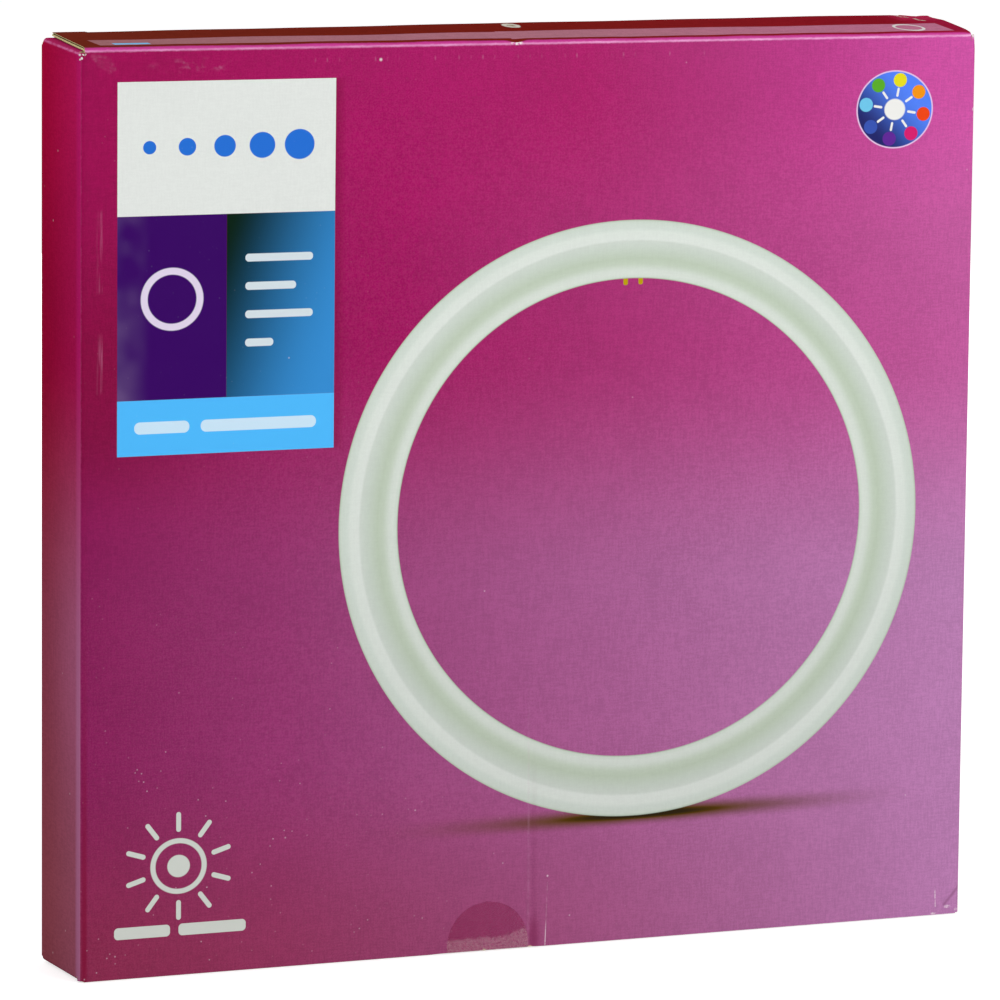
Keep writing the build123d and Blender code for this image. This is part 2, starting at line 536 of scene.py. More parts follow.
def paintTop(at, colour):
    data = topWear
    x, z = at
    ragged = work["ragged"]
    uneven = scaled(ragged, 0.5, less(z, 0.1))
    # Fold band and bright line: rubbed print and a painted highlight where the fold turns to the light
    colour = paint(times(ease(uneven, *data["fold"]), 0.8), colour, data["foldRubAndHighlightTint"])
    rubAndHighlight = times(ease(apart(uneven, data["line"]), data["lineHalf"], 0.0), ease(x, *data["lineSpan"]))
    patches = ease(grain((70, 0, 0), 3.0, 0.6), 0.35, 0.65, 0.55, 1.0)
    colour = paint(times(rubAndHighlight, patches), colour, data["lineRubAndHighlightTint"])
    clouds = ease(grain((230, 230, 300), 2.0, 0.55), 0.46, 0.74)
    broken = ease(clouds, 0.0, 0.4, 0.35, 1.0)
    scuff = times(clouds, spot(at, *data["cloud"], 0.3))
    for begin, finish in data["fan"]:
        scuff = most(scuff, times(stroke(at, begin, finish, 0.1, 1.1), data["fanStrength"], broken))
    colour = paint(times(scuff, ease(ragged, 0.3, 0.75, 0.16, 0.54)), colour, data["scuffTint"])
    beat = calc("ABSOLUTE", wave(x, data["tickPitch"]))
    tick = times(roundBox(at, data["ticks"], 0.0, 0.5), ease(beat, 0.32, 0.05))
    tick = times(tick, ease(grain((120, 0, 0), 1.0), 0.4, 0.7), data["tickStrength"])
    colour = paint(tick, colour, data["tickTint"])
    flecks = times(spot(at, *data["flecks"], 0.5), ease(ragged, 0.4, 0.52))
    corner = times(spot(at, *data["corner"], 0.45), ease(ragged, 0.36, 0.48))
    tear = most(*[spot(at, *place, 0.5) for place in data["tears"]])
    tear = times(tear, ease(ragged, 0.4, 0.52))
    bare = most(spot(at, *data["speck"], 0.1, 0.8), flecks, corner, tear)
    return paint(bare, colour, data["bare"])


# Rub and a painted highlight on the upright folds, painted shade beside the left one, nicks, and corner marks
# with a painted crease shadow
edgeWear = {
    # rub on the upright folds, with a painted highlight on them
    "rubTint": (214, 120, 176),
    # painted shade in a band beside the left upright fold
    "dark": -162.3,
    "leftFoldShadeSpan": (130, 5, 0.1, 0.7),  # two heights and how strong it is there
    "leftFoldShadeTint": (124, 6, 48),
    "rubbed": [(-157.4, -155.2, 230, 256), (-157.4, -155.2, 197, 216)],
    "rubbedTint": (206, 120, 160),
    # painted shadow of a crease across the lower right corner
    "bend": ((158.0, 3.4), (163.4, 9.4)),
    "cornerCreaseShadeTint": (128, 72, 110),
    "mark": ((154.6, 3.0), (154.3, 9.2)),
    "spots": [((159.2, 2.6), (1.7, 0.7)), ((162.7, 1.4), (0.8, 0.6)), ((154.0, 0.5), (1.6, 0.5))],
    "nicks": (163.0, 164.6, 277.6, 285.6),
    "bare": (236, 220, 228),
}


def paintEdge(at, colour):
    data = edgeWear
    x, z = at
    ragged = work["ragged"]
    inward = less(printWidth / 2, calc("ABSOLUTE", x))
    # Rub and a painted highlight along the upright folds
    colour = paint(times(ease(scaled(ragged, 0.8, inward), 1.25, 0.3), 0.3), colour, data["rubTint"])
    # Painted shade beside the left upright fold
    dark = times(ease(apart(x, data["dark"]), 1.6, 0.2), ease(z, *data["leftFoldShadeSpan"]))
    colour = paint(dark, colour, data["leftFoldShadeTint"])
    rubbed = most(*[roundBox(at, box, 0.0, 1.4) for box in data["rubbed"]])
    rubbed = times(rubbed, ease(grain((1300, 0, 70)), 0.4, 0.75), 0.4)
    colour = paint(rubbed, colour, data["rubbedTint"])
    # Painted shadow of the crease at the lower right corner
    colour = paint(times(stroke(at, *data["bend"], 0.3, 0.6), 0.5), colour, data["cornerCreaseShadeTint"])
    marks = most(stroke(at, *data["mark"], 0.15, 0.25), *[spot(at, *place, 0.4) for place in data["spots"]])
    marks = times(marks, ease(ragged, 0.35, 0.6))
    nicks = times(roundBox(at, data["nicks"], 0.0, 0.3), ease(ragged, 0.52, 0.6))
    return paint(times(most(marks, nicks), 0.8), colour, data["bare"])


# Faint crease up from the base, painted shade beside it where the board bends in, strongest at the base, and
# a short scratch
creaseWear = {
    # painted shade of the crease, darkest near the base
    "creaseFootShade": ((0.4, 3.0), (3.6, 11.0)),
    "creaseFootShadeTint": (128, 35, 80),
    "crease": ((-2.2, 110), (-1.6, 1)),
    "creaseSpan": (100, 60, 0.0, 0.11),
    "creaseTint": (206, 160, 190),
    "hollow": ((0.2, 70), (0.4, 1)),  # painted shade where the board bends in beside the crease
    "creaseShadeSpan": (75, 8, 0.0, 0.22),
    "creaseShadeTint": (112, 30, 74),
    "chip": ((-0.9, 0.2), (1.0, 0.5)),
    "chipTint": (226, 206, 172),
    "scratch": ((5.4, 22), (4.7, 0.4)),
    "scratchSpan": (10, 4, 0.13, 0.8),
    "speck": ((5.4, 24.3), (0.5, 0.5)),
    "bare": (234, 214, 226),
}


def paintCrease(at, colour):
    data = creaseWear
    z = at[1]
    ragged = work["ragged"]
    # Painted shade beside the crease, darkest at the base
    colour = paint(spot(at, *data["creaseFootShade"], 0.2, 0.5), colour, data["creaseFootShadeTint"])
    crease = times(stroke(at, *data["crease"], 0.3, 0.5), ease(z, *data["creaseSpan"]))
    colour = paint(times(crease, ease(ragged, 0.35, 0.6, 0.3, 1.0)), colour, data["creaseTint"])
    # Painted shade up the crease where the board bends in
    hollow = times(stroke(at, *data["hollow"], 0.9, 0.9), ease(z, *data["creaseShadeSpan"]))
    colour = paint(hollow, colour, data["creaseShadeTint"])
    colour = paint(spot(at, *data["chip"], 0.4, 0.8), colour, data["chipTint"])
    scratch = times(stroke(at, *data["scratch"], 0.12, 0.16), ease(z, *data["scratchSpan"]))
    scratch = times(scratch, ease(ragged, 0.3, 0.55))
    return paint(most(scratch, spot(at, *data["speck"], 0.2, 0.7)), colour, data["bare"])


# Front panel's print: X from the middle, Z from the base
frontPrint = {
    "wall": [
        (0.0, (156, 9, 80)),
        (0.35, (170, 17, 100)),
        (0.6, (178, 50, 121)),
        (0.8, (191, 71, 143)),
        (1.0, (203, 95, 165)),
    ],
    "crown": [  # deeper colours near the top
        (0.00, (156, 9, 80)),
        (0.35, (168, 16, 98)),
        (0.55, (172, 26, 103)),
        (0.71, (176, 49, 121)),
        (0.82, (189, 58, 138)),
        (1.00, (208, 82, 165)),
    ],
    "crownSpan": (235, 295),
    "ground": [(0.0, (134, 25, 86)), (0.22, (149, 52, 110)), (0.6, (168, 93, 146)), (1.0, (186, 126, 178))],
    "horizon": (211, 121),
    "slope": 0.04,  # the horizon drops a little to the right
    "dim": 0.88,  # of the wall at the horizon
    "foot": (142, 50, 65),
    "footSpan": (80, 0, 0.0, 0.5),  # two heights and how strong it is there
    "footAcross": (1.15, 0.0),
    "dusk": (110, 0, 34),  # at the left, over the horizon
    "duskTop": (262, 200),
    "duskLow": (150, 184),
    "duskAcross": (0.22, 0.02, 0.0, 0.4),
    "dotsAcross": (0.0, 0.35, 0.25, 1.0),  # where bare paper shows between the printed dots
    "dotsBelow": (160, 110),
    "dust": (2.6, 0.36, 0.12),  # spacing, size and share of the specks
    "dustLeft": (20, -90, 0.06, 0.5),
    "dustLow": (140, 40, 0.12, 1.0),
    "flecks": (16.0, 0.42, 0.05),
    "fleckStrength": 0.4,
    "dustTint": (234, 214, 226),
    "gloss": (0.03, 0.42),
    "painters": {  # one material for each area, so that each carries only what is printed there
        "plain": [],
        "ring": [paintRing, paintCrease],
        "label": [paintRing, paintLabel],
        "badge": [paintBadge],
        "sun": [paintSun],
        "top": [paintEdge, paintTop],
        "edge": [paintEdge],
        "crease": [paintCrease],
    },
}


def makeFront(area):
    data = frontPrint
    x, y, z = startPrint("front_" + area, 3.0)
    at = (x, z)
    across = scaled(x, 1 / printWidth, 0.5)
    colour = backdrop(across, scaled(x, data["slope"], z), data)
    colour = paint(ease(z, *data["crownSpan"]), colour, ramp(across, data["crown"]))
    foot = times(ease(z, *data["footSpan"]), ease(across, *data["footAcross"]))
    colour = paint(foot, colour, data["foot"])
    dusk = times(ease(z, *data["duskTop"]), ease(z, *data["duskLow"]), ease(across, *data["duskAcross"]))
    colour = paint(dusk, colour, data["dusk"])
    colour = halftone(colour, most(ease(across, *data["dotsAcross"]), ease(z, *data["dotsBelow"])))
    for painter in data["painters"][area]:
        colour = painter(at, colour)
    if area != "badge":
        clumps = ease(grain((60, 0, 45), 1.0), 0.42, 0.66, 0.12, 1.0)
        dust = times(specks(at, *data["dust"]), clumps, ease(x, *data["dustLeft"]))
        dust = times(dust, ease(z, *data["dustLow"]))
        flecks = times(specks(at, *data["flecks"]), data["fleckStrength"])
        colour = paint(most(dust, flecks), colour, data["dustTint"])
    return finishPrint(colour, x, data["gloss"])


# Which area a place on the front belongs to: the first box that holds it, as left, right, low and high
far = 999
areaBoxes = [
    ("top", (-far, far, 298, far)),
    ("edge", (-far, -155.5, -far, far)),
    ("edge", (150, far, -far, far)),
    ("label", (-far, -68, 169, far)),
    ("badge", (115, far, 264, far)),
    ("sun", (-far, -98, -far, 64)),
    ("ring", (-68, 150, 33, 50)),  # the ring's shadow
    ("crease", (-8, 8, -far, 125)),
]
ringArea = (0.74, 1.06)  # shares of the ring's outer radii


def frontArea(point):
    x, z = point[0] / mm, point[2] / mm
    (ringX, ringZ), (wide, tall) = ringPrint["outer"]["centre"], ringPrint["outer"]["radii"]
    onRing = ringArea[0] < math.hypot((x - ringX) / wide, (z - ringZ) / tall) < ringArea[1]
    for area, (left, right, low, high) in areaBoxes:
        if left < x < right and low < z < high:
            return "ring" if onRing and area == "crease" else area
    return "ring" if onRing else "plain"


# Side panels: a plain field, darker at the back, greyer below the printed horizon
sidePrint = {
    "wall": [(0.0, (188, 22, 88)), (1.0, (170, 8, 58))],
    "ground": [(0.0, (164, 86, 120)), (1.0, (140, 58, 78))],
    "horizon": (210, 106),
    "dim": 0.76,
    "foot": (136, 69, 75),
    "footSpan": (120, 10, 0.0, 0.6),
    "dots": 0.3,  # share of the front's bare dots
    "sideFoldRubAndHighlight": (-14.6, -17.6),  # rubbed strip beside the front fold, with a painted highlight on it
    "sideFoldRubAndHighlightSpan": (260, 60, 0.35, 0.62),
    "sideFoldRubAndHighlightTints": [(190, 34, 124), (178, 112, 154)],  # above and below
    "sideFoldRubAndHighlightTintSpan": (220, 80),
    "topFoldRubAndHighlight": (306.9, 307.9),  # the top fold, paler between these heights: rubbed, with a painted highlight
    "topFoldRubAndHighlightTint": (206, 60, 134),
    # pale crest of the top fold: rub and a painted highlight
    "crestRubAndHighlight": 308.1,
    "crestRubAndHighlightTint": (226, 122, 178),
    "tears": [((-18.6, 307.6), (0.7, 0.45)), ((-18.9, 306.1), (0.5, 0.45))],
    "bare": (240, 226, 230),
    "flecks": (8.0, 0.5, 0.07),  # spacing, size and share
    "fleckStrength": 0.45,
    "fleckTint": (224, 204, 210),
    "gloss": (0.0, 0.5),
}


def makeSide():
    data = sidePrint
    x, y, z = startPrint("side_print")
    at = (y, z)
    ragged = work["ragged"]
    colour = backdrop(scaled(y, 1 / printDepth, 0.5), z, data)
    colour = paint(ease(z, *data["footSpan"]), colour, data["foot"])
    colour = halftone(colour, data["dots"])
    # Rubbed strip beside the front fold, paler partly as a painted highlight
    sideFoldRubAndHighlightTint = paint(ease(z, *data["sideFoldRubAndHighlightTintSpan"]), *data["sideFoldRubAndHighlightTints"])
    sideFoldRubAndHighlight = times(ease(y, *data["sideFoldRubAndHighlight"]), ease(z, *data["sideFoldRubAndHighlightSpan"]))
    colour = paint(sideFoldRubAndHighlight, colour, sideFoldRubAndHighlightTint)
    backRub = ease(scaled(ragged, 0.8, less(printDepth / 2, y)), 1.4, 0.4)
    spring = board["flapSpring"] / mm
    level = less(z, scaled(y, spring / printDepth, spring / 2))  # along the sloping fold
    # Top fold: rubbed print and a painted highlight along the sloping fold
    topFoldRubAndHighlight = most(times(ease(level, *data["topFoldRubAndHighlight"]), 0.35), times(backRub, 0.1))
    colour = paint(topFoldRubAndHighlight, colour, data["topFoldRubAndHighlightTint"])
    crestRubAndHighlight = ease(apart(scaled(ragged, 0.6, level), data["crestRubAndHighlight"]), 0.5, 0.1)
    worn = ease(grain(260), 0.38, 0.62, 0.25, 0.8)
    colour = paint(times(crestRubAndHighlight, worn), colour, data["crestRubAndHighlightTint"])
    chips = times(ease(ragged, 0.66, 0.76), ease(level, 306.4, 307.2), ease(level, 308.0, 307.4, 0.0, 0.4))
    tear = times(most(*[spot(at, *place, 0.5) for place in data["tears"]]), ease(ragged, 0.38, 0.5))
    colour = paint(most(chips, tear), colour, data["bare"])
    flecks = times(specks(at, *data["flecks"]), data["fleckStrength"])
    colour = paint(flecks, colour, data["fleckTint"])
    return finishPrint(colour, y, data["gloss"])


# Lid and base: dark field with a paler strip, and an outline ring at the strip's end
lidPrint = {
    "field": [
        (0.00, (121, 44, 29)),
        (0.50, (128, 31, 22)),
        (0.72, (144, 28, 33)),
        (0.93, (150, 20, 38)),
        (0.97, (164, 25, 58)),
        (1.00, (168, 27, 66)),
    ],
    "strip": [(0.0, (174, 116, 120)), (0.5, (190, 123, 140)), (1.0, (203, 122, 154))],
    "dots": 0.3,  # share of the front's bare dots
    "stripBoxes": [(-155.4, 157.0, -15.3, -2.3), (-9.6, 157.0, -16.3, -1.3)],  # a kink at X -9.6
    "ring": (143.2, -8.7),
    "ringRadii": (5.5, 6.8),
    "ringHole": (4.6, 4.9),
    "ringTint": (236, 232, 230),
    "mark": (-149.9, -137.3, -13.9, -10.4),
    "markTint": (138, 206, 255),
    # rub along the front fold, with a painted highlight on it
    "frontRubAndHighlight": (204, 66, 150),
    "backRub": (190, 110, 116),
    "fringe": (148, 166, 6.5, 22.0),  # the crumpled corner
    "fringeTint": (200, 52, 92),
    "cracks": [  # short pale strokes in it
        ((150.2, 13.8), (151.3, 13.2)),
        ((152.6, 13.2), (153.7, 13.1)),
        ((154.4, 9.3), (154.4, 5.5)),
        ((155.3, 5.0), (155.9, 4.3)),
    ],
    "torn": ((1.5, 10.2), (3.4, 5.0)),
    "bare": (228, 222, 208),
    "hollow": (146, 130, 84),
    "gloss": (0.0, 0.5),
}


def makeLid():
    data = lidPrint
    x, y, z = startPrint("lid_print")
    at = (x, y)
    ragged = work["ragged"]
    across = scaled(x, 1 / printWidth, 0.5)
    onStrip = most(*[roundBox(at, box, 0.0, 0.2) for box in data["stripBoxes"]])
    colour = paint(onStrip, ramp(across, data["field"]), ramp(across, data["strip"]))
    colour = halftone(colour, data["dots"])
    colour = paint(roundBox(at, data["mark"]), colour, data["markTint"])
    rim = ease(oval(at, data["ring"], data["ringRadii"]), 1.03, 0.97)
    hole = ease(oval(at, data["ring"], data["ringHole"]), 0.96, 1.04)
    colour = paint(times(rim, hole), colour, data["ringTint"])
    # Rub along the front fold, partly a painted highlight
    frontRubAndHighlight = ease(scaled(ragged, 0.4, y), -18.3, -18.9)
    colour = paint(times(frontRubAndHighlight, 0.8), colour, data["frontRubAndHighlight"])
    fringe = times(roundBox(at, data["fringe"], 0.0, 3.0), ease(ragged, 0.35, 0.6, 0.2, 0.85))
    colour = paint(fringe, colour, data["fringeTint"])
    tornAway = scaled(ragged, 0.6, oval(at, *data["torn"]))
    bare = ease(tornAway, 1.25, 1.1)
    for begin, finish in data["cracks"]:
        bare = most(bare, times(stroke(at, begin, finish, 0.5, 0.4), ease(ragged, 0.36, 0.54)))
    colour = paint(bare, colour, data["bare"])
    hollow = times(ease(tornAway, 0.85, 0.65), ease(ragged, 0.4, 0.6, 0.3, 0.8))
    colour = paint(hollow, colour, data["hollow"])
    backRub = ease(scaled(ragged, 1.0, y), 17.4, 18.6)
    colour = paint(times(backRub, 0.2), colour, data["backRub"])
    return finishPrint(colour, x, data["gloss"], bare)


# Back panel: the same plain fields, without any other print
backPrint = {
    "rubTint": (226, 150, 196),
    "flecks": (14.0, 0.55, 0.09),  # spacing, size and share
    "fleckStrength": 0.6,
    "fleckTint": (230, 210, 222),
}


def makeBack():
    data = backPrint
    x, y, z = startPrint("back_print")
    colour = halftone(backdrop(scaled(x, -1 / printWidth, 0.5), z, frontPrint))
    footRub = ease(scaled(work["ragged"], -1.2, z), 1.6, -0.3)
    sideRub = ease(scaled(work["ragged"], 0.8, plus(x, printWidth / 2)), 1.25, 0.3)
    colour = paint(times(most(footRub, times(sideRub, 0.7)), 0.5), colour, data["rubTint"])
    flecks = times(specks((x, z), *data["flecks"]), data["fleckStrength"])
    colour = paint(flecks, colour, data["fleckTint"])
    return finishPrint(colour, x, frontPrint["gloss"])


# Inside of the board, its cut liners and the fluting between them
rawBoard = {
    "liner": (222, 222, 192),
    "linerDark": 0.88,  # share of the tint in its darkest fibres
    "cut": (244, 232, 168),
    "cutDark": 0.8,
    "ribPitch": 1.6,
    "ribs": 0.12,
    "linerGloss": (0.2, 0.85),
    "fibreHeight": 0.04 * mm,
    "fluteDark": (84, 76, 20),
    "fluteLight": (190, 184, 122),
    "flutePitch": 3.2,
    "fluteGloss": (0.1, 0.9),
}


def makeLiner(name, tint, darkest):
    x, y, z = startMaterial(name)
    fibres = grain(900, 4.0, 0.6)
    dark = tuple(int(part * darkest) for part in tint)
    tone = scaled(wave(plus(x, y), rawBoard["ribPitch"]), rawBoard["ribs"], fibres)
    specular, roughness = rawBoard["linerGloss"]
    return dress({
        "Base Color": paint(ease(tone, 0.3, 0.7), dark, tint),
        "Roughness": roughness,
        "Specular IOR Level": specular,
        "Normal": bump(fibres, rawBoard["fibreHeight"]),
    })


def makeFluting():
    x, y, z = startMaterial("fluting")
    crests = ease(wave(x, rawBoard["flutePitch"]), 0.1, 0.9)
    light = times(crests, ease(grain(1200, 3.0), 0.25, 0.7))
    specular, roughness = rawBoard["fluteGloss"]
    return dress({
        "Base Color": paint(light, rawBoard["fluteDark"], rawBoard["fluteLight"]),
        "Roughness": roughness,
        "Specular IOR Level": specular,
    })


frontMaterials = {area: makeFront(area) for area in frontPrint["painters"]}
sideMaterial = makeSide()
lidMaterial = makeLid()
backMaterial = makeBack()
linerMaterial = makeLiner("inner_liner", rawBoard["liner"], rawBoard["linerDark"])
cutMaterial = makeLiner("cut_liner", rawBoard["cut"], rawBoard["cutDark"])
flutingMaterial = makeFluting()
print("materials made")


# Mesh helpers: a sheet of board is laid out as patches, settled, then given its thickness
def spread(marks, steps):
    values = [marks[0]]
    for start, end, step in zip(marks, marks[1:], steps):
        count = max(1, round(abs(end - start) / step))
        values += [start + (end - start) * part / count for part in range(1, count + 1)]
    return values


def roundCorner(before, corner, after, radius, count):
    corner = Vector(corner)
    toBefore = (Vector(before) - corner).normalized()
    toAfter = (Vector(after) - corner).normalized()
    half = math.acos(toBefore.dot(toAfter)) / 2
    middle = corner + (toBefore + toAfter).normalized() * radius / math.sin(half)
    first = corner + toBefore * radius / math.tan(half) - middle
    sweep = math.pi - 2 * half
    if toBefore.x * toAfter.y - toBefore.y * toAfter.x > 0:
        sweep = -sweep
    points = []
    for part in range(count + 1):
        turn = sweep * part / count
        points.append((
            middle.x + first.x * math.cos(turn) - first.y * math.sin(turn),
            middle.y + first.x * math.sin(turn) + first.y * math.cos(turn),
        ))
    return points


def measured(points, start):
    rows, length = [(start, points[0])], start
    for last, point in zip(points, points[1:]):
        length += (Vector(point) - Vector(last)).length
        rows.append((length, point))
    return rows


def line(first, last, step):
    count = max(1, round((Vector(last) - Vector(first)).length / step))
    return [tuple(Vector(first).lerp(Vector(last), part / count)) for part in range(count + 1)]


def startSheet(turned=False):
    mesh = bmesh.new()
    return {"mesh": mesh, "seen": {}, "uv": mesh.loops.layers.uv.new("OFBake"), "turned": turned}


def vertAt(sheet, point):
    if sheet["turned"]:
        point = (point[0], -point[1], height - point[2])
    key = tuple(round(part * 1e6) for part in point)  # to the micrometre
    if key not in sheet["seen"]:
        sheet["seen"][key] = sheet["mesh"].verts.new(point)
    return sheet["seen"][key]


def addPatch(sheet, columns, rows, place, material):
    for (u0, a0), (u1, a1) in zip(columns, columns[1:]):
        for (v0, b0), (v1, b1) in zip(rows, rows[1:]):
            corners = [(a0, b0, u0, v0), (a1, b0, u1, v0), (a1, b1, u1, v1), (a0, b1, u0, v1)]
            face = sheet["mesh"].faces.new([vertAt(sheet, place(a, b)) for a, b, u, v in corners])
            face.material_index = material
            face.smooth = True
            for loop, (a, b, u, v) in zip(face.loops, corners):
                loop[sheet["uv"]].uv = (u, v)


def clamp(value):
    return max(0.0, min(1.0, value))


def soften(share):
    return share * share * (3 - 2 * share)


def swell(gap, reach):
    return soften(max(0.0, 1.0 - gap / reach))


# How the made-up carton differs from a perfect box
wearShape = {
    "skin": 0.2 * mm,  # a place this near to an outer face belongs to it
    "bow": 0.45 * mm,  # front and back panels sink by this much in the middle
    "bowEdge": 3 * mm,  # and not at all this near to their upright folds
    "sideBow": 0.35 * mm,
    "sideBowEdge": 2.5 * mm,
    "bowFoot": 18 * mm,  # the sinking starts above this height
    "bowFade": 60 * mm,
    "wobble": 0.22 * mm,  # along the front top fold
    "wobbleReach": 9 * mm,
    "wobbleEnds": 12 * mm,  # it fades out this near to the corners
    "dent": (-9.0 * mm, 0.7 * mm, 4.5 * mm),  # place along the fold, depth and reach
    "crumple": (162.0 * mm, 17.0 * mm, 1.5 * mm, 14.0 * mm),  # on the lid: X, Y, depth and reach
    "corner": (0.5 * mm, 6.0 * mm),  # front top right corner, depth and reach
    "lidWave": (0.3 * mm, 4 * mm, 12 * mm),  # height, start behind the fold and fade
    "seat": (0.14 * mm, 16 * mm, -4 * mm, 4 * mm),  # base under the seal: depth, half width, back and fade
    "seatFrom": 0.5 * mm,  # only below this height
}


def settle(point):
    data = wearShape
    x, y, z = point
    moved = Vector(point)
    flatX = max(0.0, 1 - (x / (halfWidth - data["bowEdge"])) ** 2)
    flatY = max(0.0, 1 - (y / (halfDepth - data["sideBowEdge"])) ** 2)
    flatZ = soften(clamp(min(z - data["bowFoot"], height - z) / data["bowFade"]))
    uneven = 1 + 0.5 * noise.noise(Vector((x * 12, z * 12, y * 3)))
    if abs(y) > halfDepth - data["skin"]:
        moved.y -= math.copysign(data["bow"] * flatX * flatZ * uneven, y)
    if abs(x) > halfWidth - data["skin"]:
        moved.x -= math.copysign(data["sideBow"] * flatY * flatZ * uneven, x)
    fold = math.hypot(y + halfDepth, z - height)
    ripple = noise.noise(Vector((x * 45, 3.1, 0.0))) + 0.5 * noise.noise(Vector((x * 160, 7.7, 0.0)))
    inner = min(1.0, (halfWidth - abs(x)) / data["wobbleEnds"])
    moved.z += data["wobble"] * ripple * swell(fold, data["wobbleReach"]) * inner
    dentX, dentDepth, dentReach = data["dent"]
    dent = dentDepth * swell(math.hypot(x - dentX, fold), dentReach)
    moved += Vector((0, 0.7 * dent, -0.7 * dent))
    cornerDepth, cornerReach = data["corner"]
    crush = cornerDepth * swell(math.hypot(x - halfWidth, fold), cornerReach)
    moved += Vector((-0.5 * crush, 0.6 * crush, -0.6 * crush))
    if z > height - data["skin"]:
        crumpleX, crumpleY, crumpleDepth, crumpleReach = data["crumple"]
        near = swell(math.hypot(x - crumpleX, y - crumpleY), crumpleReach)
        rough = noise.noise(Vector((x * 300, y * 300, 1.0)))
        moved.z -= near * crumpleDepth * (0.6 + 0.4 * rough)
        waveHeight, waveStart, waveFade = data["lidWave"]
        lidWave = noise.noise(Vector((x * 25, y * 40, 5.0)))
        moved.z += waveHeight * lidWave * clamp((y + halfDepth - waveStart) / waveFade)
    if z < data["seatFrom"] and y < 0:
        seatDepth, seatHalf, seatBack, seatFade = data["seat"]
        beside = max(0.0, abs(x - (sealLow.x + sealHigh.x) / 2) - seatHalf)
        moved.z += seatDepth * swell(math.hypot(beside, max(0.0, y - seatBack)), seatFade)
    return moved


def settleSheet(sheet):
    for vert in sheet["mesh"].verts:
        vert.co = settle(vert.co)


def thicken(sheet, thick, inside, rims):
    mesh = sheet["mesh"]
    mesh.normal_update()
    outer = list(mesh.faces)
    verts = list(mesh.verts)
    edges = [edge for edge in mesh.edges if edge.is_boundary]
    normals = {vert: vert.normal.copy() for vert in verts}
    outward = {}
    for edge in edges:
        loop = edge.link_loops[0]
        along = (loop.link_loop_next.vert.co - loop.vert.co).normalized()
        push = along.cross(loop.face.normal)
        for vert in edge.verts:
            outward[vert] = outward.get(vert, Vector()) + push
    below = {vert: mesh.verts.new(vert.co - normals[vert] * thick) for vert in verts}
    uv = sheet["uv"]
    under = []
    for face in outer:
        made = mesh.faces.new([below[vert] for vert in reversed(face.verts)])
        made.material_index = inside
        made.smooth = True
        for loop, source in zip(made.loops, reversed(list(face.loops))):
            loop[uv].uv = source[uv].uv
        made.tag = True
        under.append(made)
    rings = {}
    for vert, push in outward.items():
        push.normalize()
        stack = [vert]
        for ply, recess, material in rims[:-1]:
            stack.append(mesh.verts.new(vert.co - normals[vert] * thick * ply - push * recess))
        rings[vert] = stack + [below[vert]]
    cut = []
    for edge in edges:
        loop = [found for found in edge.link_loops if not found.face.tag][0]
        here, there = rings[loop.vert], rings[loop.link_loop_next.vert]
        for step, (ply, recess, material) in enumerate(rims):
            made = mesh.faces.new([there[step], here[step], here[step + 1], there[step + 1]])
            made.material_index = material
            made.smooth = True
            cut.append(made)
    layMap(uv, outer, under, cut)


# Texture map: the printed faces fill most of it, the inner faces and the cut edges a strip beside them
mapLayout = {
    "margin": 0.008,
    "sheet": (0.872, 0.984),  # room for the printed faces
    "strip": 0.894,  # left edge of the strip
    "stripWidth": 0.094,
    "cutLow": 0.13,
    "cell": 0.0047,  # square for one face of a cut edge
    "cellFill": 0.75,  # share of its side that the face takes up
}


def layMap(uv, outer, under, cut):
    data = mapLayout
    spots = [loop[uv].uv for face in outer for loop in face.loops]
    lowU, lowV = min(spot.x for spot in spots), min(spot.y for spot in spots)
    wide, tall = max(spot.x for spot in spots) - lowU, max(spot.y for spot in spots) - lowV
    size = min(data["sheet"][0] / wide, data["sheet"][1] / tall)
    small = min(data["stripWidth"] / wide, (data["cutLow"] - 2 * data["margin"]) / tall)
    for faces, left, scale in ((under, data["strip"], small), (outer, data["margin"], size)):
        for face in faces:
            for loop in face.loops:
                place = loop[uv].uv
                loop[uv].uv = (left + (place.x - lowU) * scale, data["margin"] + (place.y - lowV) * scale)
    perRow = int(data["stripWidth"] / data["cell"])
    side = data["cell"] * data["cellFill"]
    for index, face in enumerate(cut):
        left = data["strip"] + data["cell"] * (index % perRow)
        low = data["cutLow"] + data["cell"] * (index // perRow)
        for loop, (across, up) in zip(face.loops, ((0, 0), (side, 0), (side, side), (0, side))):
            loop[uv].uv = (left + across, low + up)


sharpFrom = 38  # degrees between two faces


def finishPiece(sheet, name, materials, cadNode):
    mesh = bpy.data.meshes.new(name)
    sheet["mesh"].normal_update()
    sheet["mesh"].to_mesh(mesh)
    sheet["mesh"].free()
    for material in materials:
        mesh.materials.append(material)
    mesh.set_sharp_from_angle(angle=math.radians(sharpFrom))
    piece = bpy.data.objects.new(name, mesh)
    bpy.context.collection.objects.link(piece)
    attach(piece, "root")
    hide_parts(cadNode)
    print(name, len(mesh.polygons), "faces")


# Order of a piece's materials
printSlot, lidSlot, innerSlot, cutSlot, fluteSlot, sideSlot = range(6)

# Cut edge of the board: liner, open fluting, liner. Depth of each step, its recess and its material
cutRims = [
    (0.14, 0.0, cutSlot),
    (0.18, 0.4 * mm, fluteSlot),
    (0.46, 0.4 * mm, fluteSlot),
    (0.5, 0.1 * mm, fluteSlot),
    (1.0, 0.0, cutSlot),
]
panelHeights = spread([0.0, sideLow, 20 * mm, 290 * mm, sideHigh], [1.5 * mm, 3 * mm, 5 * mm, 3 * mm])


